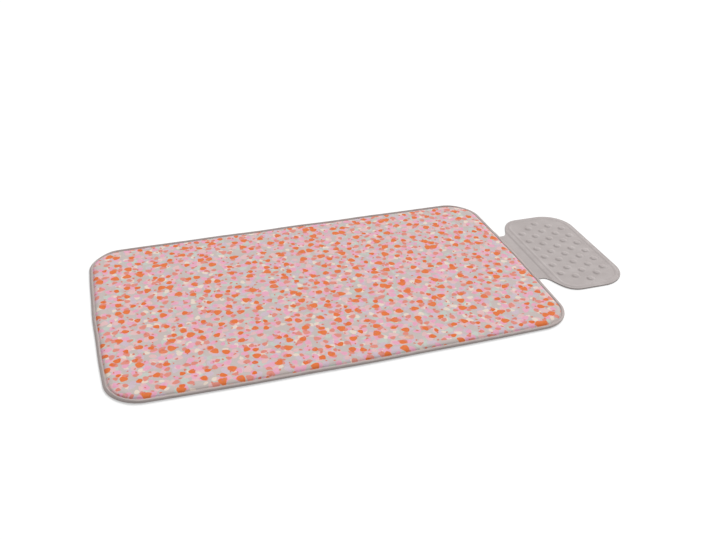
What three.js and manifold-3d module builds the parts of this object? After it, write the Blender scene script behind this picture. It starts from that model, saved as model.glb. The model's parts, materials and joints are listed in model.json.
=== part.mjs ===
// Padded ironing mat with a moulded silicone rest at one end. Millimetres, +Z up.
// The mat lies flat on z = 0 with its length along X, and the rest reaches out past its +X end.
// It folds in half for storage, so every layer that crosses the fold line is cut there,
// and the silicone moulding is cut where its neck bends.
import * as THREE from 'three';
import { mergeVertices } from 'three/addons/utils/BufferGeometryUtils.js';
import Module from 'manifold-3d';

// Outline of the pad
const padLength = 1000;
const padWidth = 600;
const cornerRadius = 78;
const sideBow = 4; // how far each side swells out between its corners
const cornerSteps = 6;
const longSideSteps = 6;
const leftSideSteps = 4;

// Gaps
const clearance = 0.3; // between neighbouring pieces
const foldGap = 0.3; // between the two sides of a fold line
const floorGap = 0.05; // under the lower seam thread

// Layers from the table up, at full thickness
const backingThickness = 0.5;
const filmThickness = 0.3;
const foamThickness = 4.3;
const feltThickness = 2.1;
const coverThickness = 0.5;

// The two springy layers where the edge seam pinches them
const foamPinched = 0.4;
const feltPinched = 0.3;

// Crown of the pad, from the pinched edge up to full thickness
const crownGap = 0.5; // from the binding's edge to the foot of the crown
const crownWidth = 12;
const crownSteps = 3;

// Binding tape, folded round the raw edges of the layers
const tapeWidth = 8;
const tapeThickness = 0.6;
const rollInset = 3.3; // from the outline to where the rolled edge becomes flat
const rollRise = 1.25; // of the rolled edge above the seam
const rollSteps = 2;
const seamInset = 6.3; // from the outline to the line of stitching

// Seam thread
const threadWidth = 0.8;
const threadHeight = 0.3;

// Silicone rest, measured from the pad's +X edge
const restReach = 209;
const restHalfWidth = 174;
const outerRadius = 70;
const shoulderEnd = 82;
const shoulderPull = 55; // handle of the shoulder's curve at the wide end
const neckHalfWidth = 106;
const neckReach = 10; // straight neck, up to the line where it folds
const neckPull = 26; // handle of the shoulder's curve at the neck
const neckThickness = 2.2;
const stepReach = 28; // where the neck steps up to the plate
const plateThickness = 3.2;
const edgeRound = 0.8;
const curveSteps = 8;

// Sewing flange of the rest, under the pad's edge
const flangeThickness = 1;
const flangeMargin = 0.3; // how far the flange reaches in past the binding
const flangeRoot = 1; // overlap of the flange with the neck
const liftMargin = 4; // flat stretch of the raised edge on each side of the flange
const liftRamp = 26; // length over which the edge comes down again

// Rim and bumps on the rest
const rimInset = 10; // from the plate's outline to the rim's centre line
const rimReach = 44; // from the pad's edge to the rim's centre line across the neck
const rimCornerRadius = 38; // of the rim's centre line at the neck end
const rimWidth = 8;
const rimRise = 0.8;
const bumpRadius = 10.5;
const bumpRise = 2;
const bumpPitch = 40;
const bumpColumnPitch = 28;
const bumpFieldMiddle = 119; // from the pad's edge to the middle column
const bumpCounts = [6, 7, 8, 7, 6];
const bumpSides = 10;
const bumpSteps = 2;
const rootDepth = 0.5; // how deep the rim and bumps start below the plate's face

// Heights through the pinched edge
const threadUnder = floorGap;
const tapeUnder = threadUnder + threadHeight + clearance;
const stackUnder = tapeUnder + tapeThickness + clearance;
const edgeLift = flangeThickness + clearance; // the edge rides up over the flange
const crownStart = tapeWidth + crownGap;
const liftFlat = neckHalfWidth + liftMargin;
const liftEnd = liftFlat + liftRamp;

const layers = [
  { name: 'backing', full: backingThickness, pinched: backingThickness, color: 0xa9a19a, roughness: 0.9 },
  {
    name: 'reflective_film', full: filmThickness, pinched: filmThickness,
    color: 0xc8cbcf, roughness: 0.35, metalness: 0.8,
  },
  { name: 'foam', full: foamThickness, pinched: foamPinched, color: 0xf0ead6, roughness: 0.95 },
  { name: 'felt', full: feltThickness, pinched: feltPinched, color: 0xebe6dc, roughness: 1 },
  { name: 'top_cover', full: coverThickness, pinched: coverThickness, color: 0xd8b1ac, roughness: 0.9 },
];
const gapsTotal = clearance * (layers.length - 1);
const stackTop = stackUnder + gapsTotal + layers.reduce((sum, layer) => sum + layer.pinched, 0);
const tapeSeamTop = stackTop + clearance + tapeThickness;

const wasm = await Module();
wasm.setup();

function toSolid(geometry) {
  const bare = geometry.clone();
  bare.deleteAttribute('normal');
  bare.deleteAttribute('uv');
  const merged = mergeVertices(bare, 1e-5);
  const vertProperties = new Float32Array(merged.attributes.position.array);
  const triVerts = new Uint32Array(merged.index.array);
  return new wasm.Manifold(new wasm.Mesh({ numProp: 3, vertProperties, triVerts }));
}

function toMesh(name, solid, look) {
  const data = solid.getMesh();
  const geometry = new THREE.BufferGeometry();
  geometry.setAttribute('position', new THREE.BufferAttribute(new Float32Array(data.vertProperties), 3));
  geometry.setIndex(new THREE.BufferAttribute(new Uint32Array(data.triVerts), 1));
  geometry.computeVertexNormals();
  const material = new THREE.MeshStandardMaterial({
    color: look.color,
    roughness: look.roughness,
    metalness: look.metalness ?? 0,
  });
  const mesh = new THREE.Mesh(geometry, material);
  mesh.name = name;
  return mesh;
}

function block(x0, x1, y0, y1, z0, z1) {
  const box = new THREE.BoxGeometry(x1 - x0, y1 - y0, z1 - z0);
  box.translate((x0 + x1) / 2, (y0 + y1) / 2, (z0 + z1) / 2);
  return toSolid(box);
}

// Points round the pad's edge, counter-clockwise from the near end of the +X side.
// Each holds its outward direction and how far the edge is raised there, from 0 to 1.
function padOutline() {
  const even = (count, half) => Array.from({ length: count - 1 }, (_, i) => half * (2 * (i + 1) / count - 1));
  const halfX = padLength / 2 - sideBow;
  const halfY = padWidth / 2 - sideBow;
  const spanX = halfX - cornerRadius;
  const spanY = halfY - cornerRadius;
  const sides = [
    { reach: halfX, span: spanY, stations: [-liftEnd, -liftFlat, 0, liftFlat, liftEnd] },
    { reach: halfY, span: spanX, stations: even(longSideSteps, spanX) },
    { reach: halfX, span: spanY, stations: even(leftSideSteps, spanY) },
    { reach: halfY, span: spanX, stations: even(longSideSteps, spanX) },
  ];
  const outline = [];
  sides.forEach(({ reach, span, stations }, side) => {
    const turn = side * Math.PI / 2;
    const out = new THREE.Vector2(Math.cos(turn), Math.sin(turn));
    const along = new THREE.Vector2(-out.y, out.x);
    for (const t of stations) {
      const swell = sideBow * (1 - (t / span) ** 2);
      const point = out.clone().multiplyScalar(reach + swell).addScaledVector(along, t);
      const lift = side === 0 && Math.abs(t) < (liftFlat + liftEnd) / 2 ? 1 : 0;
      outline.push({ point, out, lift });
    }
    const centre = out.clone().multiplyScalar(reach - cornerRadius).addScaledVector(along, span);
    for (let step = 0; step <= cornerSteps; step += 1) {
      const angle = turn + Math.PI / 2 * step / cornerSteps;
      const direction = new THREE.Vector2(Math.cos(angle), Math.sin(angle));
      const point = centre.clone().addScaledVector(direction, cornerRadius);
      outline.push({ point, out: direction, lift: 0 });
    }
  });
  return outline;
}

const outline = padOutline();

// Solid swept round the pad's edge. The profile lists { inset, z, lift } from the underside outwards
// and up to the top. An open profile is closed by a flat face across the pad above and below.
// Faces above and below a gap are split along the same diagonals, so that layers stay nested.
function edgeSweep(profile, closed) {
  const positions = [];
  const index = [];
  const count = outline.length;
  for (const { inset, z, lift } of profile) {
    for (const edge of outline) {
      const point = edge.point.clone().addScaledVector(edge.out, -inset);
      positions.push(point.x, point.y, z + edgeLift * lift * edge.lift);
    }
  }
  const bands = closed ? profile.length : profile.length - 1;
  for (let ring = 0; ring < bands; ring += 1) {
    const following = (ring + 1) % profile.length;
    const low = ring * count;
    const high = following * count;
    const outward = profile[ring].inset > profile[following].inset;
    for (let i = 0; i < count; i += 1) {
      const next = (i + 1) % count;
      if (outward) {
        index.push(low + i, low + next, high + i);
        index.push(low + next, high + next, high + i);
      } else {
        index.push(low + i, low + next, high + next);
        index.push(low + i, high + next, high + i);
      }
    }
  }
  if (!closed) {
    const last = (profile.length - 1) * count;
    const underMiddle = positions.length / 3;
    positions.push(0, 0, profile[0].z);
    positions.push(0, 0, profile.at(-1).z);
    for (let i = 0; i < count; i += 1) {
      const next = (i + 1) % count;
      index.push(underMiddle, next, i);
      index.push(underMiddle + 1, last + i, last + next);
    }
  }
  const geometry = new THREE.BufferGeometry();
  geometry.setAttribute('position', new THREE.BufferAttribute(new Float32Array(positions), 3));
  geometry.setIndex(index);
  return toSolid(geometry);
}

// One face of a layer from the edge in: pinched under the binding, then rounding up to full height
function layerFace(pinchedZ, fullZ) {
  const face = [
    { inset: rollInset, z: pinchedZ, lift: 1 },
    { inset: crownStart, z: pinchedZ, lift: 1 },
  ];
  for (let step = 1; step <= crownSteps; step += 1) {
    const angle = Math.PI / 2 * step / crownSteps;
    const rise = Math.sin(angle);
    const z = pinchedZ + (fullZ - pinchedZ) * rise;
    face.push({ inset: crownStart + crownWidth * (1 - Math.cos(angle)), z, lift: 1 - rise });
  }
  return face;
}

function layerSolids() {
  let pinchedZ = stackUnder;
  let fullZ = 0;
  return layers.map((layer) => {
    const under = layerFace(pinchedZ, fullZ);
    const over = layerFace(pinchedZ + layer.pinched, fullZ + layer.full);
    pinchedZ += layer.pinched + clearance;
    fullZ += layer.full + clearance;
    return { name: layer.name, look: layer, solid: edgeSweep([...under.reverse(), ...over], false) };
  });
}

// Binding: a strip of even thickness along a line that runs from the underside round to the top
function bindingSolid() {
  const low = tapeUnder + tapeThickness / 2;
  const seam = tapeSeamTop - tapeThickness / 2;
  const crest = seam + rollRise;
  const outer = tapeThickness / 2;
  const line = new THREE.Path();
  line.moveTo(tapeWidth, low);
  line.lineTo(rollInset, low);
  line.quadraticCurveTo(outer, low, outer, (low + crest) / 2);
  line.quadraticCurveTo(outer, crest, rollInset, crest);
  line.lineTo(seamInset, seam);
  line.lineTo(tapeWidth, seam);
  const points = line.getPoints(rollSteps);
  const offset = (side) => points.map((point, i) => {
    const before = points[Math.max(i - 1, 0)];
    const after = points[Math.min(i + 1, points.length - 1)];
    const run = after.clone().sub(before).normalize();
    return { inset: point.x + side * run.y, z: point.y - side * run.x, lift: 1 };
  });
  const outside = offset(-tapeThickness / 2);
  const inside = offset(tapeThickness / 2);
  return edgeSweep([...outside, ...inside.reverse()], true);
}

// Seam thread: a flat bead along the stitching line. Only the upper one rides up over the flange.
function threadSolid(under, lift) {
  const near = seamInset - threadWidth / 2;
  const far = seamInset + threadWidth / 2;
  const over = under + threadHeight;
  return edgeSweep([
    { inset: far, z: under, lift },
    { inset: near, z: under, lift },
    { inset: near, z: over, lift },
    { inset: far, z: over, lift },
  ], true);
}

// Outline of the silicone from the fold line of the neck out
function restOutline() {
  const start = neckReach + foldGap / 2;
  const cornerX = restReach - outerRadius;
  const cornerY = restHalfWidth - outerRadius;
  const shape = new THREE.Shape();
  shape.moveTo(start, -neckHalfWidth);
  shape.bezierCurveTo(
    start + neckPull, -neckHalfWidth,
    shoulderEnd - shoulderPull, -restHalfWidth,
    shoulderEnd, -restHalfWidth,
  );
  shape.absarc(cornerX, -cornerY, outerRadius, -Math.PI / 2, 0);
  shape.absarc(cornerX, cornerY, outerRadius, 0, Math.PI / 2);
  shape.lineTo(shoulderEnd, restHalfWidth);
  shape.bezierCurveTo(
    shoulderEnd - shoulderPull, restHalfWidth,
    start + neckPull, neckHalfWidth,
    start, neckHalfWidth,
  );
  return shape;
}

// Slab of silicone with rounded edges that stands on z = 0
function slab(shape, thickness) {
  const geometry = new THREE.ExtrudeGeometry(shape, {
    depth: thickness - 2 * edgeRound,
    bevelThickness: edgeRound,
    bevelSize: edgeRound,
    bevelOffset: -edgeRound,
    bevelSegments: 1,
    curveSegments: curveSteps,
  });
  geometry.translate(0, 0, edgeRound);
  return toSolid(geometry);
}

// Closed loop at a distance from the rim's centre line, outwards when the distance is positive
function rimLoop(path, distance) {
  const left = rimReach - distance;
  const right = restReach - rimInset + distance;
  const half = restHalfWidth - rimInset + distance;
  const wide = outerRadius - rimInset + distance;
  const tight = rimCornerRadius + distance;
  path.moveTo(left + tight, -half);
  path.absarc(right - wide, -half + wide, wide, -Math.PI / 2, 0);
  path.absarc(right - wide, half - wide, wide, 0, Math.PI / 2);
  path.absarc(left + tight, half - tight, tight, Math.PI / 2, Math.PI);
  path.absarc(left + tight, -half + tight, tight, Math.PI, Math.PI * 1.5);
  return path;
}

function rimSolid() {
  const ring = rimLoop(new THREE.Shape(), rimWidth / 2);
  ring.holes.push(rimLoop(new THREE.Path(), -rimWidth / 2));
  const geometry = new THREE.ExtrudeGeometry(ring, {
    depth: rootDepth,
    bevelThickness: rimRise,
    bevelSize: rimWidth / 4,
    bevelOffset: -rimWidth / 4,
    bevelSegments: 1,
    curveSegments: curveSteps,
  });
  geometry.translate(0, 0, plateThickness - rootDepth);
  return toSolid(geometry);
}

// One bump: a low dome on a short root that goes down into the plate
function bumpGeometry() {
  const profile = [new THREE.Vector2(0, -rootDepth), new THREE.Vector2(bumpRadius, -rootDepth)];
  for (let step = 0; step < bumpSteps; step += 1) {
    const angle = Math.PI / 2 * step / bumpSteps;
    profile.push(new THREE.Vector2(bumpRadius * Math.cos(angle), bumpRise * Math.sin(angle)));
  }
  profile.push(new THREE.Vector2(0, bumpRise));
  const geometry = new THREE.LatheGeometry(profile, bumpSides);
  geometry.rotateX(Math.PI / 2);
  return geometry;
}

function bumpSolids() {
  const bump = bumpGeometry();
  const solids = [];
  bumpCounts.forEach((count, column) => {
    const x = bumpFieldMiddle + (column - (bumpCounts.length - 1) / 2) * bumpColumnPitch;
    for (let row = 0; row < count; row += 1) {
      const y = (row - (count - 1) / 2) * bumpPitch;
      solids.push(toSolid(bump.clone().translate(x, y, plateThickness)));
    }
  });
  return solids;
}

function restSolid() {
  const shape = restOutline();
  const past = restReach + restHalfWidth;
  const plate = slab(shape, plateThickness).intersect(
    block(stepReach, past, -past, past, -plateThickness, 2 * plateThickness),
  );
  let rest = slab(shape, neckThickness).add(plate).add(rimSolid());
  for (const bump of bumpSolids()) {
    rest = rest.add(bump);
  }
  return rest;
}

// The fixed end of the silicone: the neck's inner stretch and the flange that the edge seam catches
function flangeSolid() {
  const neckEnd = neckReach - foldGap / 2;
  const flangeUnder = tapeUnder;
  const neck = block(clearance, neckEnd, -neckHalfWidth, neckHalfWidth, 0, neckThickness);
  const flange = block(
    -tapeWidth - flangeMargin, clearance + flangeRoot,
    -neckHalfWidth, neckHalfWidth,
    flangeUnder, flangeUnder + flangeThickness,
  );
  return neck.add(flange);
}

// The two halves of something that crosses the fold line at the middle of the pad
function addHalves(group, name, solid, look) {
  const past = padLength + padWidth;
  const left = block(-past, -foldGap / 2, -past, past, -past, past);
  const right = block(foldGap / 2, past, -past, past, -past, past);
  group.add(toMesh(`${name}_left`, solid.intersect(left), look));
  group.add(toMesh(`${name}_right`, solid.intersect(right), look));
}

const silicone = { color: 0xb7aead, roughness: 0.75 };
const tape = { color: 0xaba39b, roughness: 0.9 };
const thread = { color: 0x9a928a, roughness: 0.8 };

const pad = new THREE.Group();
for (const { name, solid, look } of layerSolids()) {
  addHalves(pad, name, solid, look);
}
addHalves(pad, 'edge_binding', bindingSolid(), tape);
addHalves(pad, 'needle_thread', threadSolid(tapeSeamTop + clearance, 1), thread);
addHalves(pad, 'bobbin_thread', threadSolid(threadUnder, 0), thread);

const moulding = new THREE.Group();
moulding.position.x = padLength / 2;
moulding.add(toMesh('rest_flange', flangeSolid(), silicone));
moulding.add(toMesh('silicone_rest', restSolid(), silicone));

// The origin lies under the middle of the whole part's length
const ironingPad = new THREE.Group();
ironingPad.position.x = -restReach / 2;
ironingPad.add(pad, moulding);

export default ironingPad;
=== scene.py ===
import json
import math

import bpy
import numpy as np
from mathutils import Matrix, Vector


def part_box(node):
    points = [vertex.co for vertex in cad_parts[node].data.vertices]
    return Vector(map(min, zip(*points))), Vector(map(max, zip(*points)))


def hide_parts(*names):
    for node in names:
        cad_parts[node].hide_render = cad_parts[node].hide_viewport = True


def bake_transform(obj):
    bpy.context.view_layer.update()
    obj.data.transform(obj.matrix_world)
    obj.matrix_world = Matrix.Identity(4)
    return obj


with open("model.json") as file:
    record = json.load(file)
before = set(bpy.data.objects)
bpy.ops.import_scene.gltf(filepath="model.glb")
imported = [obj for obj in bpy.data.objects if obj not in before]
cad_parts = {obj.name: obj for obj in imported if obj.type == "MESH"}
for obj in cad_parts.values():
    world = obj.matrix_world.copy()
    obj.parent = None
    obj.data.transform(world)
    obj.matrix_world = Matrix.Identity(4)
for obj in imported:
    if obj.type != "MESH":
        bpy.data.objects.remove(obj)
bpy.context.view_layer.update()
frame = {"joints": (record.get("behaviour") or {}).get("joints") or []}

mm = 0.001
scene = bpy.context.scene
joints = {joint["name"]: joint for joint in frame["joints"]}

# places that the frame gives
foldX = joints["pad_fold"]["pos_m"][0]
neckFoldX = joints["rest_fold"]["pos_m"][0]
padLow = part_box("edge_binding_left")[0]
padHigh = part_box("edge_binding_right")[1]
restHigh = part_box("silicone_rest")[1]
padEndX = padHigh.x

print("frame loaded, pad", round(padHigh.x - padLow.x, 4), "by", round(padHigh.y - padLow.y, 4))


# node trees

class Wire:
    # a socket that takes part in Python sums, each sum adding its Math node
    def __init__(self, graph, socket):
        self.graph = graph
        self.socket = socket

    def sum(self, operation, *others):
        values = [self, *others]
        node = self.graph.add("ShaderNodeMath", {"operation": operation}, dict(enumerate(values)))
        return self.graph.out(node)

    def __add__(self, other):
        return self.sum("ADD", other)

    def __radd__(self, other):
        return self.sum("ADD", other)

    def __sub__(self, other):
        return self.sum("SUBTRACT", other)

    def __rsub__(self, other):
        return (self * -1) + other

    def __mul__(self, other):
        return self.sum("MULTIPLY", other)

    def __rmul__(self, other):
        return self.sum("MULTIPLY", other)

    def __truediv__(self, other):
        return self.sum("DIVIDE", other)

    def __pow__(self, other):
        return self.sum("POWER", other)

    def sin(self):
        return self.sum("SINE")

    def cos(self):
        return self.sum("COSINE")

    def root(self):
        return self.sum("SQRT")

    def least(self, other):
        return self.sum("MINIMUM", other)

    def most(self, other):
        return self.sum("MAXIMUM", other)


class Graph:
    # one node tree, for a material or for geometry
    def __init__(self, tree):
        self.tree = tree

    def add(self, kind, settings=None, inputs=None):
        # a node among the inputs stands for its first output
        node = self.tree.nodes.new(kind)
        for name, value in (settings or {}).items():
            setattr(node, name, value)
        for key, value in (inputs or {}).items():
            if isinstance(value, bpy.types.Node):
                value = self.out(value)
            if isinstance(value, Wire):
                self.tree.links.new(value.socket, node.inputs[key])
            else:
                node.inputs[key].default_value = value
        return node

    def out(self, node, key=0):
        return Wire(self, node.outputs[key])

    def mixColour(self, factor, first, second):
        node = self.add("ShaderNodeMix", {"data_type": "RGBA"}, {0: factor, 6: first, 7: second})
        return self.out(node, 2)

    def step(self, value, low, high):
        # 0 below low, 1 above high, smooth between
        settings = {"interpolation_type": "SMOOTHSTEP"}
        node = self.add("ShaderNodeMapRange", settings, {0: value, 1: low, 2: high, 3: 0.0, 4: 1.0})
        return self.out(node)

    def noise(self, vector, scale, detail=2.0, roughness=0.5, key=0):
        values = {"Vector": vector, "Scale": scale, "Detail": detail, "Roughness": roughness}
        return self.out(self.add("ShaderNodeTexNoise", {"noise_dimensions": "2D"}, values), key)


def linear(red, green, blue):
    # colour as seen, 0 to 255, into the linear light that a shader wants
    parts = [value / 255 for value in (red, green, blue)]
    return tuple(p / 12.92 if p <= 0.04045 else ((p + 0.055) / 1.055) ** 2.4 for p in parts) + (1.0,)


# finish of a material whose look names no other
plainFinish = {"metal": 0.0, "specular": 0.5, "sheen": 0.0, "sheenRoughness": 0.5}


def newMaterial(name, look):
    # what is the same all over a surface stands on the shader itself
    finish = {**plainFinish, **look}
    material = bpy.data.materials.new(name)
    material.use_nodes = True
    graph = Graph(material.node_tree)
    shader = material.node_tree.nodes["Principled BSDF"]
    shader.inputs["Roughness"].default_value = finish["roughness"]
    shader.inputs["Metallic"].default_value = finish["metal"]
    shader.inputs["Specular IOR Level"].default_value = finish["specular"]
    shader.inputs["Sheen Weight"].default_value = finish["sheen"]
    shader.inputs["Sheen Roughness"].default_value = finish["sheenRoughness"]
    return material, graph, shader


def link(graph, wire, shader, name):
    graph.tree.links.new(wire.socket, shader.inputs[name])


def flatPlace(graph):
    # where a point of the piece lay when it was flat, in metres
    return graph.out(graph.add("ShaderNodeUVMap", {"uv_map": "flat"}))


def splitPlace(graph, vector):
    node = graph.add("ShaderNodeSeparateXYZ", None, {0: vector})
    return graph.out(node, 0), graph.out(node, 1)


def bumpFrom(graph, shader, height, look):
    values = {"Height": height, "Distance": look["relief"], "Strength": look["reliefStrength"]}
    link(graph, graph.out(graph.add("ShaderNodeBump", None, values)), shader, "Normal")


def weaveHeight(graph, across, along, pitch):
    # plain weave: warp and weft take turns to lie on top
    turn = 2 * math.pi / pitch
    return (across * turn).sin() * (along * turn).sin()


# printed cotton of the cover

printedCotton = {
    "ground": (199, 187, 183),
    "roughness": 0.9,
    "sheen": 0.1,
    "specular": 0.12,
    "weavePitch": 0.9 * mm,
    "weaveTone": 0.04,
    "weaveRelief": 0.5,
    "slubGrain": 420.0,  # thick and thin yarn, to the metre
    "slubTone": 0.05,
    "relief": 0.12 * mm,
    "reliefStrength": 0.5,
    "fading": 0.15,  # how much paler the ink may lie in one petal than in the next
    "fadePetal": 0.5,  # how that splits between whole petals and patches of thin ink
    "fadeInk": 1.2,
    "fadeFrom": 0.35,
    "inkGrain": 240.0,  # patches of thin ink, to the metre
    "ragged": 0.16,  # how far the ink's edge breaks up, as a share of a petal
    # each colour of the print: colour, cell size, petal length, petal width, share of cells left empty
    "petals": [
        ((191, 197, 188), 31 * mm, 9.5 * mm, 7.0 * mm, 0.10),
        ((202, 182, 194), 30 * mm, 9.5 * mm, 6.5 * mm, 0.10),
        ((224, 182, 182), 27 * mm, 9.0 * mm, 6.2 * mm, 0.08),
        ((228, 210, 194), 30 * mm, 6.6 * mm, 4.6 * mm, 0.30),
        ((229, 160, 185), 28 * mm, 8.0 * mm, 5.8 * mm, 0.08),
        ((221, 130, 114), 29 * mm, 7.0 * mm, 5.2 * mm, 0.10),
        ((226, 106, 42), 34 * mm, 8.0 * mm, 6.5 * mm, 0.10),
        ((214, 112, 92), 21 * mm, 3.2 * mm, 2.0 * mm, 0.25),
    ],
    "latticeShift": (3.17, 1.73),  # keeps the lattices of the colours apart, in metres
    "scatter": 0.85,
    "smallest": 0.75,  # petal sizes, as a share of the size above
    "sizeSpread": 0.5,
    "narrowing": 0.35,
    "emptyStep": 0.01,
    "wanderGrain": 95.0,
    "edgeWander": 2.0 * mm,
    "edgeSoft": 0.6 * mm,
}


def petalMask(graph, place, wander, ink, layer, order):
    # one petal in each cell of a loose lattice, turned at random
    look = printedCotton
    _, cell, length, width, empty = layer
    shiftX, shiftY = look["latticeShift"]
    shifted = graph.add("ShaderNodeVectorMath", {"operation": "ADD"},
                        {0: place, 1: (shiftX * (order + 1), shiftY * (order + 2), 0.0)})
    warped = graph.add("ShaderNodeVectorMath", {"operation": "ADD"}, {0: shifted, 1: wander})
    settings = {"voronoi_dimensions": "2D", "feature": "F1"}
    lattice = graph.add("ShaderNodeTexVoronoi", settings,
                        {"Vector": warped, "Scale": 1 / cell, "Randomness": look["scatter"]})
    centre = graph.out(lattice, "Position")
    offset = graph.add("ShaderNodeVectorMath", {"operation": "SUBTRACT"}, {0: warped, 1: centre})
    dx, dy = splitPlace(graph, offset)
    chance = graph.add("ShaderNodeSeparateColor", None, {0: graph.out(lattice, "Color")})
    spin = graph.out(chance, 0) * (2 * math.pi)
    along = dx * spin.cos() + dy * spin.sin()
    across = dy * spin.cos() - dx * spin.sin()
    grow = graph.out(chance, 1) * look["sizeSpread"] + look["smallest"]
    # a petal is an oval that narrows towards one end
    narrow = (along / length) * look["narrowing"] + 1.0
    reach = ((along / length) ** 2 + (across * narrow / width) ** 2).root() / grow
    reach = reach + (ink - 0.5) * look["ragged"]
    shown = graph.step(graph.out(chance, 2), empty, empty + look["emptyStep"])
    edge = look["edgeSoft"] / width
    return graph.step(reach, 1 + edge, 1 - edge) * shown, chance


def makePrintedCotton():
    look = printedCotton
    material, graph, shader = newMaterial("printedCotton", look)
    place = flatPlace(graph)
    x, y = splitPlace(graph, place)
    drift = graph.noise(place, look["wanderGrain"], key="Color")
    centred = graph.add("ShaderNodeVectorMath", {"operation": "SUBTRACT"}, {0: drift, 1: (0.5, 0.5, 0.5)})
    wander = graph.add("ShaderNodeVectorMath", {"operation": "SCALE"},
                       {0: centred, "Scale": look["edgeWander"] * 2})
    ink = graph.noise(place, look["inkGrain"], detail=4.0, roughness=0.65)
    dyed = linear(*look["ground"])
    for order, layer in enumerate(look["petals"]):
        mask, chance = petalMask(graph, place, wander, ink, layer, order)
        pale = linear(*[value + (255 - value) * look["fading"] for value in layer[0]])
        thin = graph.out(chance, 1) * look["fadePetal"] + (ink - look["fadeFrom"]) * look["fadeInk"]
        tint = graph.mixColour(thin, linear(*layer[0]), pale)
        dyed = graph.mixColour(mask, dyed, tint)
    weave = weaveHeight(graph, x, y, look["weavePitch"])
    slub = graph.noise(place, look["slubGrain"], detail=3.0, roughness=0.6)
    tone = (slub - 0.5) * (2 * look["slubTone"]) + weave * look["weaveTone"] + 1.0
    shade = graph.add("ShaderNodeVectorMath", {"operation": "SCALE"}, {0: dyed, "Scale": tone})
    link(graph, graph.out(shade), shader, "Base Color")
    bumpFrom(graph, shader, weave * look["weaveRelief"] + slub, look)
    return material


# plain woven cloth of the binding and the backing

plainCloth = {
    "roughness": 0.9,
    "sheen": 0.1,
    "specular": 0.15,
    "wearGrain": 60.0,  # faded patches, to the metre
    "wearShare": 0.6,
    "slubGrain": 500.0,
    "slubShare": 0.4,
    "darkFrom": 0.25,
    "darkReach": 0.7,
    "weaveTone": 0.08,
    "weaveRelief": 0.5,
    "relief": 0.15 * mm,
    "reliefStrength": 0.5,
}
cloths = {
    "bindingCloth": {"colour": (192, 180, 177), "dark": (170, 157, 153),
                     "weavePitch": 0.8 * mm, "bias": math.radians(45)},
    "backingCloth": {"colour": (184, 175, 170), "dark": (160, 150, 145),
                     "weavePitch": 1.0 * mm, "bias": 0.0},
}


def makePlainCloth(name):
    look = {**plainCloth, **cloths[name]}
    material, graph, shader = newMaterial(name, look)
    place = flatPlace(graph)
    turned = graph.add("ShaderNodeMapping", None, {"Vector": place, "Rotation": (0, 0, look["bias"])})
    x, y = splitPlace(graph, turned)
    weave = weaveHeight(graph, x, y, look["weavePitch"])
    wear = graph.noise(place, look["wearGrain"], detail=4.0, roughness=0.6)
    slub = graph.noise(place, look["slubGrain"])
    patches = wear * look["wearShare"] + slub * look["slubShare"]
    amount = (patches - look["darkFrom"]) * look["darkReach"] + weave * look["weaveTone"]
    colour = graph.mixColour(amount, linear(*look["colour"]), linear(*look["dark"]))
    link(graph, colour, shader, "Base Color")
    bumpFrom(graph, shader, weave * look["weaveRelief"] + slub, look)
    return material


# inner layers

innerLayer = {"roughness": 0.95, "relief": 0.2 * mm, "reliefStrength": 0.4}
innerLooks = {
    "feltLayer": {"colour": (236, 231, 221), "dark": (214, 207, 194), "grain": 900.0},
    "foamLayer": {"colour": (241, 235, 216), "dark": (222, 213, 188), "grain": 1400.0},
    "reflectiveFilm": {"colour": (205, 208, 211), "dark": (176, 180, 184), "grain": 160.0,
                       "roughness": 0.38, "metal": 0.9},
}


def makeInnerLook(name):
    look = {**innerLayer, **innerLooks[name]}
    material, graph, shader = newMaterial(name, look)
    grain = graph.noise(flatPlace(graph), look["grain"], detail=3.0, roughness=0.65)
    colour = graph.mixColour(grain, linear(*look["colour"]), linear(*look["dark"]))
    link(graph, colour, shader, "Base Color")
    bumpFrom(graph, shader, grain, look)
    return material


# sewing thread, each stitch a little lighter or darker than the next

threadLook = {"light": (180, 170, 165), "dark": (154, 145, 139), "roughness": 0.7, "sheen": 0.1}


def makeThread():
    look = threadLook
    material, graph, shader = newMaterial("sewingThread", look)
    tone = graph.out(graph.add("ShaderNodeAttribute", {"attribute_name": "tone"}), "Fac")
    colour = graph.mixColour(tone, linear(*look["dark"]), linear(*look["light"]))
    link(graph, colour, shader, "Base Color")
    return material


# matt silicone of the rest

siliconeLook = {
    "colour": (176, 167, 165),
    "dark": (162, 153, 151),
    "roughness": 0.62,
    "specular": 0.3,
    "dust": 0.08,  # how far dust and handling change the roughness
    "cloudGrain": 28.0,
    "cloudShare": 0.75,
    "grain": 1800.0,
    "relief": 0.05 * mm,
    "reliefStrength": 0.35,
}


def makeSilicone():
    look = siliconeLook
    material, graph, shader = newMaterial("mattSilicone", look)
    place = flatPlace(graph)
    cloud = graph.noise(place, look["cloudGrain"], detail=3.0, roughness=0.55)
    grain = graph.noise(place, look["grain"], roughness=0.6)
    mottle = cloud * look["cloudShare"] + grain * (1 - look["cloudShare"])
    colour = graph.mixColour(mottle, linear(*look["colour"]), linear(*look["dark"]))
    link(graph, colour, shader, "Base Color")
    rough = cloud * (2 * look["dust"]) + (look["roughness"] - look["dust"])
    link(graph, rough, shader, "Roughness")
    bumpFrom(graph, shader, grain, look)
    return material


# outline of the pad, in metres from the pad's middle

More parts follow.
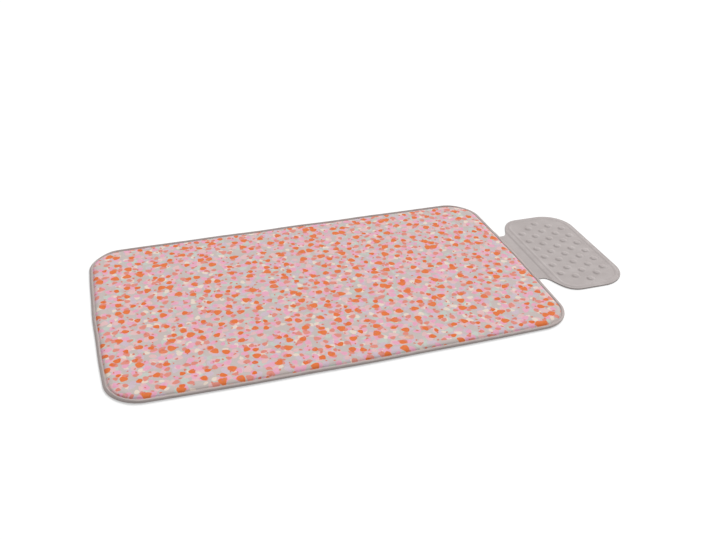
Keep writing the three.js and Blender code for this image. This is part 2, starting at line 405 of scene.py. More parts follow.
padShape = {
    "cornerRadius": 78 * mm,
    "half": {"left": foldX - padLow.x, "right": padHigh.x - foldX, "near": -padLow.y, "far": padHigh.y},
    "bow": {"left": 5.5 * mm, "right": 3.2 * mm, "near": 6.0 * mm, "far": 2.0 * mm},
    "wave": {"left": 0.7 * mm, "right": 0.5 * mm, "near": 0.6 * mm, "far": 1.1 * mm},
    "waveTurns": {"left": 2.3, "right": 1.6, "near": 3.1, "far": 4.2},
    "waveStart": 1.0,
    "foldReach": 14 * mm,
    "foldZone": 1.3,  # stretch with close stops, as a share of the fold's reach
    "foldStep": 1.2 * mm,
    "edgeZone": 30 * mm,
}


def straightSpan(side):
    # from the pad's middle to where the corner begins
    return padShape["half"][side] - padShape["bow"][side] - padShape["cornerRadius"]


def edgeReach(t, side, inset):
    # how far the pad's edge stands from its middle, at t along that side
    lowSide, highSide = ("left", "right") if side in ("near", "far") else ("near", "far")
    low, high = -straightSpan(lowSide), straightSpan(highSide)
    share = np.clip((t - (low + high) / 2) / ((high - low) / 2), -1, 1)
    window = 1 - share ** 2
    swell = padShape["bow"][side] * window
    turns = np.sin(share * padShape["waveTurns"][side] * math.pi + padShape["waveStart"])
    ripple = padShape["wave"][side] * window ** 2 * (turns - 1)
    tangent = padShape["half"][side] - padShape["bow"][side]
    beyond = np.maximum(np.maximum(t - high, low - t), 0)
    radius = padShape["cornerRadius"]
    arc = tangent - radius + np.sqrt(np.maximum((radius - inset) ** 2 - beyond ** 2, 0))
    return np.where(beyond > 0, arc, tangent - inset + swell + ripple)


def cornerReach(side, inset):
    # half way round the corner, where one side's stretch of edge hands over to the next
    return straightSpan(side) + (padShape["cornerRadius"] - inset) * math.sqrt(0.5)


def gradedStops(low, high, coarse, marks):
    # stops from low to high, closer together near each mark (place, reach, step)
    stops = [low]
    while stops[-1] < high:
        steps = [step for place, reach, step in marks if abs(stops[-1] - place) < reach]
        stops.append(stops[-1] + min([coarse, *steps]))
    stops = np.array(stops)
    return low + (stops - low) * (high - low) / (stops[-1] - low)


def edgeMarks(low, high, step):
    return [(low, padShape["edgeZone"], step), (high, padShape["edgeZone"], step)]


def lengthStops(inset, coarse, edgeStep, foldStep):
    low, high = -cornerReach("left", inset), cornerReach("right", inset)
    fold = (0, padShape["foldZone"] * padShape["foldReach"], foldStep)
    return gradedStops(low, high, coarse, [*edgeMarks(low, high, edgeStep), fold])


def widthStops(inset, coarse, edgeStep):
    low, high = -cornerReach("near", inset), cornerReach("far", inset)
    return gradedStops(low, high, coarse, edgeMarks(low, high, edgeStep))


def padGrid(xStops, yStops, inset):
    # rows and columns that bend to follow the rounded outline
    left = edgeReach(yStops, "left", inset) / cornerReach("left", inset)
    right = edgeReach(yStops, "right", inset) / cornerReach("right", inset)
    near = edgeReach(xStops, "near", inset) / cornerReach("near", inset)
    far = edgeReach(xStops, "far", inset) / cornerReach("far", inset)
    x = xStops[:, None] * np.where(xStops[:, None] < 0, left[None], right[None])
    y = yStops[None] * np.where(yStops[None] < 0, near[:, None], far[:, None])
    return x, y


def insetAt(x, y):
    # distance in from the pad's edge
    fromNear = edgeReach(x, "near", 0.0) + y
    fromFar = edgeReach(x, "far", 0.0) - y
    fromLeft = edgeReach(y, "left", 0.0) + x
    fromRight = edgeReach(y, "right", 0.0) - x
    pastX = np.maximum(x - straightSpan("right"), -x - straightSpan("left"))
    pastY = np.maximum(y - straightSpan("far"), -y - straightSpan("near"))
    nearest = np.minimum(np.minimum(fromNear, fromFar), np.minimum(fromLeft, fromRight))
    fromCorner = padShape["cornerRadius"] - np.hypot(pastX, pastY)
    return np.where((pastX > 0) & (pastY > 0), fromCorner, nearest)


def smooth(value):
    t = np.clip(value, 0, 1)
    return t * t * (3 - 2 * t)


# heights through the pad

edgeStack = {
    "gap": 0.3 * mm,
    "layerGap": 0.1 * mm,
    "floorGap": 0.05 * mm,
    "threadHeight": 0.3 * mm,
    "tapeGap": 0.05 * mm,
    "tapeThickness": 0.6 * mm,
    "tapeWidth": 8.0 * mm,
    "rollInset": 3.3 * mm,
    "layerInset": 4.4 * mm,  # where the layers end inside the tape
    "seamInset": 6.4 * mm,
    "crownGap": 0.6 * mm,
    "crownWidth": 12 * mm,
    "crownPuff": 0.45,
    "flangeThickness": 1 * mm,
    "liftFlat": 110 * mm,
    "liftRamp": 26 * mm,
}
# name, full thickness, thickness where the seam pinches it, from the table up
padLayers = [
    ("backing", 0.5 * mm, 0.5 * mm),
    ("reflective_film", 0.3 * mm, 0.3 * mm),
    ("foam", 4.6 * mm, 0.8 * mm),
    ("felt", 2.2 * mm, 0.5 * mm),
    ("top_cover", 0.5 * mm, 0.5 * mm),
]
tapeUnder = edgeStack["floorGap"] + edgeStack["threadHeight"] + edgeStack["gap"]
stackUnder = tapeUnder + edgeStack["tapeThickness"] + edgeStack["layerGap"]
pinchedSum = sum(pinched for _, _, pinched in padLayers)
stackTop = stackUnder + pinchedSum + edgeStack["layerGap"] * (len(padLayers) - 1)
seamTop = stackTop + edgeStack["tapeGap"] + edgeStack["tapeThickness"]


def crownRise(inset):
    # 0 under the tape, 1 where the layers have their full thickness
    fromTape = inset - edgeStack["tapeWidth"] - edgeStack["crownGap"]
    share = np.clip(fromTape / edgeStack["crownWidth"], 0, 1)
    return (1 - (1 - share) ** 2) ** edgeStack["crownPuff"]


def edgeLift(x, y):
    # the edge rides up over the sewing flange of the rest
    lift = edgeStack["flangeThickness"] + edgeStack["gap"]
    beside = smooth((edgeStack["liftFlat"] + edgeStack["liftRamp"] - np.abs(y)) / edgeStack["liftRamp"])
    return lift * beside * (1 - crownRise(edgeReach(y, "right", 0.0) - x))


# mesh helpers

def newObject(name, data):
    piece = bpy.data.objects.new(name, data)
    scene.collection.objects.link(piece)
    return piece


def newMesh(name, points, faces, places, material):
    # places holds the flat position of every point, kept as the piece's UV map
    mesh = bpy.data.meshes.new(name)
    mesh.from_pydata(points.tolist(), [], faces.tolist())
    corners = np.empty(len(mesh.loops), np.int32)
    mesh.loops.foreach_get("vertex_index", corners)
    layer = mesh.uv_layers.new(name="flat")
    layer.data.foreach_set("uv", places[corners].astype(np.float32).ravel())
    mesh.polygons.foreach_set("use_smooth", np.ones(len(mesh.polygons), bool))
    mesh.materials.append(material)
    mesh.update()
    return newObject(name, mesh)


def gridFaces(rows, columns, start, flip):
    index = start + np.arange(rows * columns).reshape(rows, columns)
    quads = np.stack([index[:-1, :-1], index[1:, :-1], index[1:, 1:], index[:-1, 1:]], -1).reshape(-1, 4)
    return quads[:, ::-1] if flip else quads


def slabFaces(rows, columns):
    # an upper and a lower sheet of points, joined round their rims
    upper = gridFaces(rows, columns, 0, False)
    lower = gridFaces(rows, columns, rows * columns, True)
    index = np.arange(rows * columns).reshape(rows, columns)
    rim = np.concatenate([index[:, 0], index[-1, 1:], index[-2::-1, -1], index[0, -2:0:-1]])
    after = np.roll(rim, -1)
    wall = np.stack([rim, rim + rows * columns, after + rows * columns, after], -1)
    return np.concatenate([upper, lower, wall])


def slabMesh(name, x, y, over, under, material, middle):
    rows, columns = x.shape
    flat = np.stack([x, y], -1).reshape(-1, 2)
    upper = np.column_stack([flat, over.ravel()])
    lower = np.column_stack([flat, under.ravel()])
    points = np.concatenate([upper, lower])
    points[:, 0] += middle
    return newMesh(name, points, slabFaces(rows, columns), np.concatenate([flat, flat]), material)


# swelling of the cover, by a run of cloth on a coarse copy

swelling = {
    "cell": 9 * mm,
    "edgeCell": 5 * mm,
    "seed": 11,
    "start": 0.08 * mm,  # unevenness that the run begins with
    "frames": 16,
    "quality": 5,
    "spare": 0.012,  # share of cloth beyond what lies flat
    "pressure": 0.35,
    "hold": 0.12,
    "most": 0.45 * mm,
}


def swellCover(height):
    # gives the coarse stops and how far the cloth rose above its starting shape there
    inset = edgeStack["layerInset"]
    xStops = lengthStops(inset, swelling["cell"], swelling["edgeCell"], swelling["edgeCell"])
    yStops = widthStops(inset, swelling["cell"], swelling["edgeCell"])
    x, y = padGrid(xStops, yStops, inset)
    edge = insetAt(x, y)
    sewn = edge < edgeStack["tapeWidth"] + edgeStack["crownGap"]
    rng = np.random.default_rng(swelling["seed"])
    z = stackTop + (height - stackTop) * crownRise(edge) + edgeLift(x, y) * (1 - crownRise(edge))
    z += np.where(sewn, 0, rng.uniform(-1, 1, z.shape) * swelling["start"])
    points = np.stack([x, y, z], -1).reshape(-1, 3)
    mesh = bpy.data.meshes.new("swelling")
    mesh.from_pydata(points.tolist(), [], gridFaces(len(xStops), len(yStops), 0, False).tolist())
    cloth = newObject("swelling", mesh)
    held = cloth.vertex_groups.new(name="held")
    held.add(np.flatnonzero(sewn.ravel()).tolist(), 1.0, "REPLACE")
    held.add(np.flatnonzero(~sewn.ravel()).tolist(), swelling["hold"], "REPLACE")
    modifier = cloth.modifiers.new("cloth", "CLOTH")
    settings = modifier.settings
    settings.quality = swelling["quality"]
    settings.vertex_group_mass = "held"
    settings.shrink_min = -swelling["spare"]
    settings.use_pressure = True
    settings.uniform_pressure_force = swelling["pressure"]
    settings.effector_weights.gravity = 0
    modifier.collision_settings.use_collision = False
    for step in range(1, swelling["frames"] + 1):
        scene.frame_set(step)
    settled = cloth.evaluated_get(bpy.context.evaluated_depsgraph_get()).data
    after = np.empty(len(settled.vertices) * 3)
    settled.vertices.foreach_get("co", after)
    scene.frame_set(1)
    bpy.data.objects.remove(cloth)
    rose = after.reshape(-1, 3)[:, 2].reshape(z.shape) - z
    print("cover swelled, rise in mm", np.percentile(rose * 1000, [0, 5, 50, 95, 100]).round(2))
    return xStops, yStops, np.clip(rose, 0, swelling["most"])


def spread(coarseX, coarseY, coarse, fineX, fineY):
    # coarse values carried over to finer stops
    rows = np.stack([np.interp(fineY, coarseY, row) for row in coarse])
    return np.stack([np.interp(fineX, coarseX, column) for column in rows.T], 1)


# the layers of the pad

layerCells = {"flat": 8 * mm, "edge": 1.6 * mm, "fold": 1.8 * mm}


def makeLayers(looks):
    # all layers share one grid, so that none comes through another at the seam
    inset = edgeStack["layerInset"]
    xStops = lengthStops(inset, layerCells["flat"], layerCells["edge"], layerCells["fold"])
    yStops = widthStops(inset, layerCells["flat"], layerCells["edge"])
    x, y = padGrid(xStops, yStops, inset)
    rise = crownRise(insetAt(x, y))
    lift = edgeLift(x, y)
    pieces = {}
    pinchedZ, fullZ = stackUnder, 0.0
    for name, full, pinched in padLayers:
        under = (pinchedZ + lift) * (1 - rise) + fullZ * rise
        over = (pinchedZ + pinched + lift) * (1 - rise) + (fullZ + full) * rise
        if name == "top_cover":
            swell = spread(*swellCover(fullZ + full), xStops, yStops) * rise
            under += swell
            over += swell
        pieces[name] = slabMesh(name, x, y, over, under, looks[name], foldX)
        pinchedZ += pinched + edgeStack["layerGap"]
        fullZ += full + edgeStack["layerGap"]
    print("pad layers made:", ", ".join(pieces))
    return pieces


# loop round the pad's edge, with its outward directions and running length

def edgeLoop(step):
    xStops = lengthStops(0.0, step, step, padShape["foldStep"])
    yStops = widthStops(0.0, step, step)
    near = np.column_stack([xStops, -edgeReach(xStops, "near", 0.0)])[:-1]
    right = np.column_stack([edgeReach(yStops, "right", 0.0), yStops])[:-1]
    far = np.column_stack([xStops, edgeReach(xStops, "far", 0.0)])[:0:-1]
    left = np.column_stack([-edgeReach(yStops, "left", 0.0), yStops])[:0:-1]
    points = np.concatenate([near, right, far, left])
    run = np.roll(points, -1, 0) - np.roll(points, 1, 0)
    run /= np.linalg.norm(run, axis=1)[:, None]
    outward = np.column_stack([run[:, 1], -run[:, 0]])
    strides = np.linalg.norm(np.roll(points, -1, 0) - points, axis=1)
    return points, outward, np.concatenate([[0], np.cumsum(strides)[:-1]])


# binding tape round the edge

binding = {
    "step": 3 * mm,
    "curvePoints": 7,
    "groovePoints": 4,
    "creaseHandle": 0.6 * mm,
    "edgeLip": 0.15 * mm,
    # puckers and a slower wander of the crest, which fade out towards the outside and at the seam
    "pucker": 0.22 * mm,
    "puckerPitch": 17 * mm,
    "puckerSeed": 4,
    "crestWander": 0.25 * mm,
    "wanderPitch": 136 * mm,
    "wanderSeed": 5,
    "waveCount": 9,
    "waveSpread": (0.6, 2.4),  # wave lengths, as a share of the pitch
    "fadeDepth": 2 * mm,
    "fadeRise": 2.5 * mm,
    "fadeOutside": 4 * mm,
    "fadeSeam": 1.5 * mm,
    # how far the edge has turned where an end's own roll begins, and over what stretch it comes in
    "endStart": 0.2,
    "endBlend": 0.7,
    # the tape stands up along the two long sides, lies flat at the rest and slopes down at the other end
    "nearRoll": {"top": 6.6 * mm, "corner": 3.2 * mm, "flat": 4.4 * mm, "slope": 0.4 * mm, "waist": 0.45},
    "farRoll": {"top": 7.8 * mm, "corner": 2.0 * mm, "flat": 2.2 * mm, "slope": 0.3 * mm, "waist": 0.5},
    "restRoll": {"top": 5.75 * mm, "corner": 1.4 * mm, "flat": 5.2 * mm, "slope": 0.3 * mm, "waist": 0.5},
    "leftRoll": {"top": 6.1 * mm, "corner": 5.2 * mm, "flat": 5.4 * mm, "slope": 3.2 * mm, "waist": 0.27},
}


def curvePoints(start, handle, end, count):
    t = np.linspace(0, 1, count)[1:, None]
    return (1 - t) ** 2 * np.array(start) + 2 * t * (1 - t) * np.array(handle) + t ** 2 * np.array(end)


def tapeLine(shape):
    # middle of the tape's thickness, from its lower edge round the outside to its upper edge
    half = edgeStack["tapeThickness"] / 2
    low = tapeUnder + half
    seam = seamTop - half
    crest = shape["top"] - half
    roll, corner, flat = edgeStack["rollInset"], shape["corner"], shape["flat"]
    width, sew = edgeStack["tapeWidth"], edgeStack["seamInset"]
    waist = low + (crest - low) * shape["waist"]
    fall = (crest + seam) / 2
    count, handle = binding["curvePoints"], binding["creaseHandle"]
    return np.concatenate([
        [(width, low), ((width + roll) / 2, low), (roll, low)],
        curvePoints((roll, low), (half, low), (half, waist), count),
        curvePoints((half, waist), (half, crest - shape["slope"]), (corner, crest), count),
        curvePoints((corner, crest), (flat + handle, crest), ((flat + sew) / 2, fall), count),
        curvePoints(((flat + sew) / 2, fall), (sew - handle, seam), (sew, seam), binding["groovePoints"]),
        [((sew + width) / 2, seam), (width, seam + binding["edgeLip"])],
    ])


def tapeSection(shape):
    line = tapeLine(shape)
    run = np.gradient(line, axis=0)
    run /= np.linalg.norm(run, axis=1)[:, None]
    aside = np.column_stack([run[:, 1], -run[:, 0]]) * edgeStack["tapeThickness"] / 2
    return np.concatenate([line - aside, (line + aside)[::-1]])


def sweepFaces(stations, around):
    index = np.arange(stations * around).reshape(stations, around)
    ahead = np.roll(index, -1, 0)
    return np.stack([index, ahead, np.roll(ahead, -1, 1), np.roll(index, -1, 1)], -1).reshape(-1, 4)


def softWaves(length, pitch, seed):
    # gentle unevenness along a closed line, the same on every run
    rng = np.random.default_rng(seed)
    total = length[-1]
    wave = np.zeros(len(length))
    for _ in range(binding["waveCount"]):
        turns = max(1, round(total / (pitch * rng.uniform(*binding["waveSpread"]))))
        wave += np.sin(2 * math.pi * turns * length / total + rng.uniform(0, 2 * math.pi))
    return wave / math.sqrt(binding["waveCount"])


def makeBinding(material):
    loop, outward, length = edgeLoop(binding["step"])
    turned = np.abs(outward[:, 0]) - binding["endStart"]
    endShare = smooth(turned / binding["endBlend"])  # 1 along the two ends
    shares = {
        "nearRoll": (1 - endShare) * (outward[:, 1] <= 0),
        "farRoll": (1 - endShare) * (outward[:, 1] > 0),
        "restRoll": endShare * (outward[:, 0] > 0),
        "leftRoll": endShare * (outward[:, 0] <= 0),
    }
    section = sum(share[:, None, None] * tapeSection(binding[name]) for name, share in shares.items())
    stations, around = section.shape[:2]
    pucker = softWaves(length, binding["puckerPitch"], binding["puckerSeed"]) * binding["pucker"]
    wander = softWaves(length, binding["wanderPitch"], binding["wanderSeed"]) * binding["crestWander"]
    inset, height = section[..., 0], section[..., 1]
    crest = smooth((height - (seamTop - binding["fadeDepth"])) / binding["fadeRise"])
    crest *= smooth(inset / binding["fadeOutside"])
    crest *= smooth((edgeStack["seamInset"] - inset) / binding["fadeSeam"])
    height = height + (pucker + wander)[:, None] * crest
    lift = edgeLift(loop[:, 0], loop[:, 1])
    place = loop[:, None] - inset[..., None] * outward[:, None]
    points = np.concatenate([place, (height + lift[:, None])[..., None]], -1).reshape(-1, 3)
    points[:, 0] += foldX
    strides = np.linalg.norm(np.diff(tapeSection(binding["nearRoll"]), axis=0), axis=1)
    across = np.concatenate([[0], np.cumsum(strides)])
    flat = np.stack(np.broadcast_arrays(length[:, None], across[None]), -1).reshape(-1, 2)
    piece = newMesh("edge_binding", points, sweepFaces(stations, around), flat, material)
    print("binding made,", len(points), "points")
    return piece


# stitches

stitches = {
    "spacing": 4.0 * mm,
    "length": 3.3 * mm,
    "radius": 0.38 * mm,
    "sides": 6,
    "rings": 5,
    "needleRise": 0.2 * mm,
    "bobbinRise": 0.4 * mm,
    "step": 3 * mm,
    "seed": 7,
}


def stitchTree(material):
    tree = bpy.data.node_groups.new("stitchRow", "GeometryNodeTree")
    graph = Graph(tree)
    tree.interface.new_socket("Seam line", in_out="INPUT", socket_type="NodeSocketGeometry")
    for name in ("Spacing", "Length", "Radius"):
        tree.interface.new_socket(name, in_out="INPUT", socket_type="NodeSocketFloat")
    tree.interface.new_socket("Seed", in_out="INPUT", socket_type="NodeSocketInt")
    tree.interface.new_socket("Stitches", in_out="OUTPUT", socket_type="NodeSocketGeometry")
    source = graph.add("NodeGroupInput")
    line, spacing, length, radius, seed = [graph.out(source, key) for key in range(5)]
    spaced = graph.add("GeometryNodeResampleCurve", {"mode": "LENGTH"}, {"Curve": line, "Length": spacing})
    ball = graph.add("GeometryNodeMeshUVSphere", None,
                     {"Segments": stitches["sides"], "Rings": stitches["rings"], "Radius": 1.0})
    scale = graph.add("ShaderNodeCombineXYZ", None, {0: length * 0.5, 1: radius, 2: radius})
    stitch = graph.add("GeometryNodeTransform", None, {"Geometry": ball, "Scale": scale})
    tangent = graph.add("GeometryNodeInputTangent")
    turn = graph.add("FunctionNodeAlignRotationToVector", {"axis": "X"}, {"Vector": tangent})
    row = graph.add("GeometryNodeInstanceOnPoints", None,
                    {"Points": spaced, "Instance": stitch, "Rotation": turn})
    chance = graph.add("FunctionNodeRandomValue", {"data_type": "FLOAT"}, {"Seed": seed})
    toned = graph.add("GeometryNodeStoreNamedAttribute", {"data_type": "FLOAT", "domain": "INSTANCE"},
                      {"Geometry": row, "Name": "tone", "Value": graph.out(chance, 1)})
    real = graph.add("GeometryNodeRealizeInstances", None, {0: toned})
    rounded = graph.add("GeometryNodeSetShadeSmooth", None, {0: real})
    dressed = graph.add("GeometryNodeSetMaterial", None, {"Geometry": rounded, "Material": material})
    graph.add("NodeGroupOutput", None, {0: dressed})
    return tree


def closedCurve(name, points):
    data = bpy.data.curves.new(name, "CURVE")
    data.dimensions = "3D"
    spline = data.splines.new("POLY")
    spline.points.add(len(points) - 1)
    spline.points.foreach_set("co", np.column_stack([points, np.ones(len(points))]).ravel())
    spline.use_cyclic_u = True
    return newObject(name, data)


def runTree(carrier, tree, values):
    # the tree's result as a plain mesh, in place of its carrier
    modifier = carrier.modifiers.new(tree.name, "NODES")
    modifier.node_group = tree
    for item in tree.interface.items_tree:
        if item.in_out == "INPUT" and item.name in values:
            modifier[item.identifier] = values[item.name]
    evaluated = carrier.evaluated_get(bpy.context.evaluated_depsgraph_get())
    mesh = bpy.data.meshes.new_from_object(evaluated)
    carrier.modifiers.remove(modifier)
    return mesh


def makeStitches(name, tree, height, lifted):
    loop, outward, _ = edgeLoop(stitches["step"])
    seam = loop - edgeStack["seamInset"] * outward
    z = np.full(len(loop), height)
    if lifted:
        z += edgeLift(loop[:, 0], loop[:, 1])
    curve = closedCurve(name + "_line", np.column_stack([seam[:, 0] + foldX, seam[:, 1], z]))
    values = {"Spacing": stitches["spacing"], "Length": stitches["length"],
              "Radius": stitches["radius"], "Seed": stitches["seed"]}
    mesh = runTree(curve, tree, values)
    bpy.data.objects.remove(curve)
    mesh.name = name
    print(name, "has", len(mesh.polygons), "faces")
    return newObject(name, mesh)


# silicone rest with its neck and sewing flange, in metres from the pad's end

rest = {
    "reach": restHigh.x - padEndX,
    "halfWidth": restHigh.y,
    "outerRadius": 70 * mm,
    "shoulderEnd": 82 * mm,
    "shoulderPull": 55 * mm,
    "neckHalfWidth": 106 * mm,
    "neckReach": neckFoldX - padEndX,
    "neckPull": 26 * mm,
    "neckThickness": 2.2 * mm,
    "stepReach": 28 * mm,
    "stepWidth": 6 * mm,
    "plateThickness": 3.2 * mm,
    "edgeRound": 1.3 * mm,
    "flangeDepth": 8.2 * mm,
    "rimInset": 10 * mm,
    "rimReach": 44 * mm,
    "rimCornerRadius": 38 * mm,
    "rimWidth": 8 * mm,
    "rimRise": 0.55 * mm,
    "flangeEnd": 0.5 * mm,  # inside the pad's end, where the neck begins
    "flangeRamp": 1.5 * mm,
    "underRound": 0.6,  # rounding below, as a share of the rounding above
    "bendReach": 9.5 * mm,  # on each side of the neck's fold line
    "bendZone": 12 * mm,
    "bendStep": 1 * mm,
    "pitch": 1.5 * mm,
    "curveSteps": 400,
    "cornerSteps": 75,
    "edgeSteps": 6,
    "edgeShares": (0.0012, 0.02),  # first and last of the close stops at the edge, of the half width
}
bumps = {
    "radius": 10.5 * mm,
    "rise": 1.75 * mm,
    "flatShare": 0.45,
    "pitch": 40 * mm,
    "columnPitch": 28 * mm,
    "middle": 119 * mm,
    "counts": [6, 7, 8, 7, 6],
    "faceSlack": 0.1 * mm,  # points this little below the face still count as on it
}


def shoulderCurve():
    t = np.linspace(0, 1, rest["curveSteps"])
    start, end = rest["neckReach"], rest["shoulderEnd"]
    xs = [start, start + rest["neckPull"], end - rest["shoulderPull"], end]
    ys = [rest["neckHalfWidth"], rest["neckHalfWidth"], rest["halfWidth"], rest["halfWidth"]]
    weights = [(1 - t) ** 3, 3 * t * (1 - t) ** 2, 3 * t ** 2 * (1 - t), t ** 3]
    return sum(w * x for w, x in zip(weights, xs)), sum(w * y for w, y in zip(weights, ys))


def restHalf(u):
    # half width of the silicone at u past the pad's end
    curveX, curveY = shoulderCurve()
    width = np.interp(u, curveX, curveY)
    cornerX = rest["reach"] - rest["outerRadius"]
    past = np.clip(u - cornerX, 0, rest["outerRadius"])
    corner = rest["halfWidth"] - rest["outerRadius"] + np.sqrt(rest["outerRadius"] ** 2 - past ** 2)
    return np.where(u > cornerX, corner, width)


def restStops():
    cornerX = rest["reach"] - rest["outerRadius"]
    neck = (rest["neckReach"], rest["bendZone"], rest["bendStep"])
    body = gradedStops(-rest["flangeDepth"], cornerX, rest["pitch"], [neck])
    turn = np.linspace(0, math.pi / 2, rest["cornerSteps"])[1:]
    return np.concatenate([body, cornerX + rest["outerRadius"] * np.sin(turn)])


def roundedBox(u, v, left, right, half, leftRadius, rightRadius):
    # signed distance to a box whose two ends have corners of their own
    middle = (left + right) / 2
    radius = np.where(u < middle, leftRadius, rightRadius)
    qx = np.abs(u - middle) - (right - left) / 2 + radius
    qy = np.abs(v) - half + radius
    outside = np.hypot(np.maximum(qx, 0), np.maximum(qy, 0))
    return outside + np.minimum(np.maximum(qx, qy), 0) - radius


def restEdge(u, v):
    # distance in from the silicone's outline
    slope = np.gradient(restHalf(u[:, 0]), u[:, 0])[:, None]
    beside = (restHalf(u) - np.abs(v)) / np.sqrt(1 + slope ** 2)
    cornerX = rest["reach"] - rest["outerRadius"]
    cornerY = rest["halfWidth"] - rest["outerRadius"]
    fromCorner = rest["outerRadius"] - np.hypot(u - cornerX, np.abs(v) - cornerY)
    beside = np.where((u > cornerX) & (np.abs(v) > cornerY), fromCorner, beside)
    return np.maximum(np.minimum(beside, rest["reach"] - u), 0)


def bumpTree(material):
    tree = bpy.data.node_groups.new("mouldedBumps", "GeometryNodeTree")
    graph = Graph(tree)
    tree.interface.new_socket("Plate", in_out="INPUT", socket_type="NodeSocketGeometry")
    for name in ("Radius", "Rise", "Flat share", "Pitch", "Column pitch", "Middle", "Face height"):
        tree.interface.new_socket(name, in_out="INPUT", socket_type="NodeSocketFloat")
    tree.interface.new_socket("Moulding", in_out="OUTPUT", socket_type="NodeSocketGeometry")
    source = graph.add("NodeGroupInput")
    plate, radius, rise, flat = [graph.out(source, key) for key in range(4)]
    pitch, columnPitch, middle, face = [graph.out(source, key) for key in range(4, 8)]
    field = graph.add("GeometryNodeJoinGeometry")
    step = graph.add("ShaderNodeCombineXYZ", None, {1: pitch})
    for column, count in enumerate(bumps["counts"]):
        x = columnPitch * (column - (len(bumps["counts"]) - 1) / 2) + middle
        start = graph.add("ShaderNodeCombineXYZ", None, {0: x, 1: pitch * (-(count - 1) / 2)})
        line = graph.add("GeometryNodeMeshLine", None,
                         {"Count": count, "Start Location": start, "Offset": step})
        tree.links.new(line.outputs[0], field.inputs[0])
    place = graph.add("GeometryNodeInputPosition")
    parts = graph.add("ShaderNodeSeparateXYZ", None, {0: place})
    ground = graph.add("ShaderNodeCombineXYZ", None, {0: graph.out(parts, 0), 1: graph.out(parts, 1)})
    near = graph.add("GeometryNodeProximity", {"target_element": "POINTS"},
                     {0: field, "Sample Position": ground})
    share = (graph.out(near, "Distance") / radius).least(1.0)
    dome = graph.step(share, 1.0, flat) * rise
    onFace = graph.out(parts, 2).sum("GREATER_THAN", face)
    lift = graph.add("ShaderNodeCombineXYZ", None, {2: dome * onFace})
    moved = graph.add("GeometryNodeSetPosition", None, {"Geometry": plate, "Offset": lift})
    solid = graph.add("GeometryNodeRealizeInstances", None, {0: moved})
    dressed = graph.add("GeometryNodeSetMaterial", None, {"Geometry": solid, "Material": material})
    graph.add("NodeGroupOutput", None, {0: dressed})
    return tree


def makeRest(material):
    stops = restStops()
    first, last = rest["edgeShares"]
    edge = 1 - np.geomspace(first, last, rest["edgeSteps"])
    inner = np.linspace(last - 1, 1 - last, round(2 * rest["halfWidth"] / rest["pitch"]))[1:-1]
    shares = np.concatenate([[-1.0], -edge, inner, edge[::-1], [1.0]])
    u = np.repeat(stops[:, None], len(shares), 1)
    v = restHalf(stops)[:, None] * shares[None]
    edgeIn = restEdge(u, v)
    rounding = rest["edgeRound"]
    dip = rounding - np.sqrt(np.maximum(rounding ** 2 - np.maximum(rounding - edgeIn, 0) ** 2, 0))
    body = smooth((u + rest["flangeEnd"]) / rest["flangeRamp"])  # 0 on the flange, 1 from the neck on
    plate = smooth((u - rest["stepReach"]) / rest["stepWidth"] + 0.5)
    thick = rest["neckThickness"] + (rest["plateThickness"] - rest["neckThickness"]) * plate
    rimIn = rest["rimInset"]
    rim = roundedBox(u, v, rest["rimReach"], rest["reach"] - rimIn, rest["halfWidth"] - rimIn,
                     rest["rimCornerRadius"], rest["outerRadius"] - rimIn)
    bead = rest["rimRise"] * (1 - np.clip(np.abs(rim) / (rest["rimWidth"] / 2), 0, 1) ** 2)
    dip = np.minimum(dip, thick / 2)
    flangeUnder = tapeUnder
    flangeOver = tapeUnder + edgeStack["flangeThickness"]
    over = flangeOver + (thick + bead - dip - flangeOver) * body
    under = flangeUnder + (dip * rest["underRound"] - flangeUnder) * body
    raw = slabMesh("rest_blank", u, v, over, under, material, 0.0)
    values = {"Radius": bumps["radius"], "Rise": bumps["rise"], "Flat share": bumps["flatShare"],
              "Pitch": bumps["pitch"], "Column pitch": bumps["columnPitch"], "Middle": bumps["middle"],
              "Face height": rest["plateThickness"] - bumps["faceSlack"]}
    mesh = runTree(raw, bumpTree(material), values)
    bpy.data.objects.remove(raw)
    mesh.transform(Matrix.Translation((padEndX, 0, 0)))
    mesh.name = "silicone_moulding"
    print("rest made,", len(mesh.polygons), "faces")
    return newObject("silicone_moulding", mesh)


# camera and stage

view = {
    "sensorWidth": 36,
    "imageWidth": 716,
    "focalPixels": 877,
    "azimuth": math.radians(-18.29),
    "elevation": math.radians(31.16),
    "roll": math.radians(0.95),
    "distance": 2.0743,
    "target": (0.0057, 0.0545, 0.0),
}


def makeCamera():
    azimuth, elevation, roll = view["azimuth"], view["elevation"], view["roll"]
    flatReach = math.cos(elevation)
    back = Vector((math.sin(azimuth) * flatReach, -math.cos(azimuth) * flatReach, math.sin(elevation)))
    right = Vector((math.cos(azimuth), math.sin(azimuth), 0))
    up = back.cross(right)
    rolledRight = right * math.cos(roll) + up * math.sin(roll)
    rolledUp = up * math.cos(roll) - right * math.sin(roll)
    data = bpy.data.cameras.new("camera")
    data.sensor_width = view["sensorWidth"]
    data.lens = view["focalPixels"] / view["imageWidth"] * data.sensor_width
    camera = newObject("camera", data)
    place = Vector(view["target"]) + back * view["distance"]
    turn = Matrix((rolledRight, rolledUp, back)).transposed().to_4x4()
    camera.matrix_world = Matrix.Translation(place) @ turn
    scene.camera = camera


stage = {
    "floorSize": 14.0,
    "floorTone": 0.64,
    "floorGlow": 0.42,
    "skyLevel": 0.42,
    "sunLevel": 0.58,  # on a face that looks straight up
    "sunHeight": math.radians(41),
    "sunTurn": math.radians(52),  # from straight behind towards the rest
    "sunSpread": math.radians(40),
}


def backgroundRay(graph):
    # 1 where the picture, a shine or a clear piece shows the background itself
    ray = graph.add("ShaderNodeLightPath")
    seen = graph.out(ray, "Is Camera Ray").most(graph.out(ray, "Is Glossy Ray"))
    return seen.most(graph.out(ray, "Is Transmission Ray"))


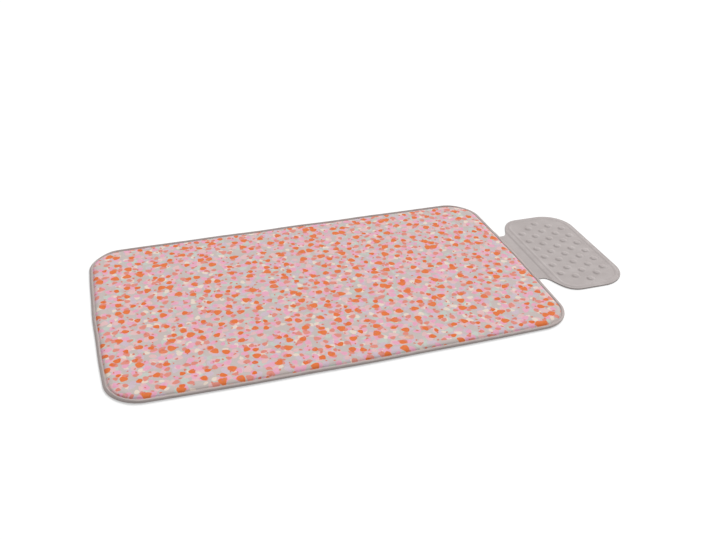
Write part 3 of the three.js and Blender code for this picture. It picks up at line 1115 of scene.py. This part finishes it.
def makeFloor():
    half = stage["floorSize"] / 2
    points = np.array([(-half, -half, 0), (half, -half, 0), (half, half, 0), (-half, half, 0)])
    material = bpy.data.materials.new("paleFloor")
    material.use_nodes = True
    material.node_tree.nodes.clear()
    graph = Graph(material.node_tree)
    tone = (stage["floorTone"],) * 3 + (1,)
    matt = graph.add("ShaderNodeBsdfDiffuse", None, {"Color": tone})
    glow = graph.add("ShaderNodeEmission", None, {"Strength": backgroundRay(graph) * stage["floorGlow"]})
    lit = graph.add("ShaderNodeAddShader", None, {0: matt, 1: glow})
    clear = graph.add("ShaderNodeBsdfTransparent")
    side = graph.add("ShaderNodeNewGeometry")
    # seen from below the floor is clear, so that the underside shows
    both = graph.add("ShaderNodeMixShader", None,
                     {0: graph.out(side, "Backfacing"), 1: lit, 2: clear})
    graph.add("ShaderNodeOutputMaterial", None, {0: both})
    floor = newMesh("floor", points, np.array([[0, 1, 2, 3]]), points[:, :2], material)


def makeLight():
    world = bpy.data.worlds.new("studio")
    world.use_nodes = True
    world.node_tree.nodes.clear()
    graph = Graph(world.node_tree)
    level = backgroundRay(graph) * (1 - stage["skyLevel"]) + stage["skyLevel"]
    sky = graph.add("ShaderNodeBackground", None, {"Color": (1, 1, 1, 1), "Strength": level})
    graph.add("ShaderNodeOutputWorld", None, {0: sky})
    scene.world = world
    data = bpy.data.lights.new("softLight", "SUN")
    data.angle = stage["sunSpread"]
    data.energy = stage["sunLevel"] * math.pi / math.sin(stage["sunHeight"])
    lamp = newObject("softLight", data)
    flatReach = math.cos(stage["sunHeight"])
    towards = Vector((math.sin(stage["sunTurn"]) * flatReach, math.cos(stage["sunTurn"]) * flatReach,
                      math.sin(stage["sunHeight"])))
    lamp.rotation_mode = "QUATERNION"
    lamp.rotation_quaternion = towards.to_track_quat("Z", "Y")


# everything put together

makeCamera()
makeFloor()
makeLight()
scene.view_settings.view_transform = "Standard"
print("camera and stage set")

cottonPrint = makePrintedCotton()
tapeCloth = makePlainCloth("bindingCloth")
backingCloth = makePlainCloth("backingCloth")
thread = makeThread()
silicone = makeSilicone()
layerLooks = {
    "top_cover": cottonPrint,
    "felt": makeInnerLook("feltLayer"),
    "foam": makeInnerLook("foamLayer"),
    "reflective_film": makeInnerLook("reflectiveFilm"),
    "backing": backingCloth,
}
print("materials made")

layers = makeLayers(layerLooks)
tape = makeBinding(tapeCloth)
rowTree = stitchTree(thread)
needleHeight = seamTop + stitches["needleRise"]
bobbinHeight = edgeStack["floorGap"] + stitches["bobbinRise"]
needleRow = makeStitches("needle_stitches", rowTree, needleHeight, True)
bobbinRow = makeStitches("bobbin_stitches", rowTree, bobbinHeight, False)
moulding = makeRest(silicone)

# each piece under the name of the CAD part it replaces, with what it stands for
halved = {
    "top_cover": (layers["top_cover"], "cover"),
    "felt": (layers["felt"], "felt"),
    "foam": (layers["foam"], "foam"),
    "reflective_film": (layers["reflective_film"], "film"),
    "backing": (layers["backing"], "backing"),
    "edge_binding": (tape, "binding"),
    "needle_thread": (needleRow, "thread"),
    "bobbin_thread": (bobbinRow, "thread"),
}
for node, (piece, slot) in halved.items():
    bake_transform(piece)
    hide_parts(node + "_left", node + "_right")
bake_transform(moulding)
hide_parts("rest_flange", "silicone_rest")
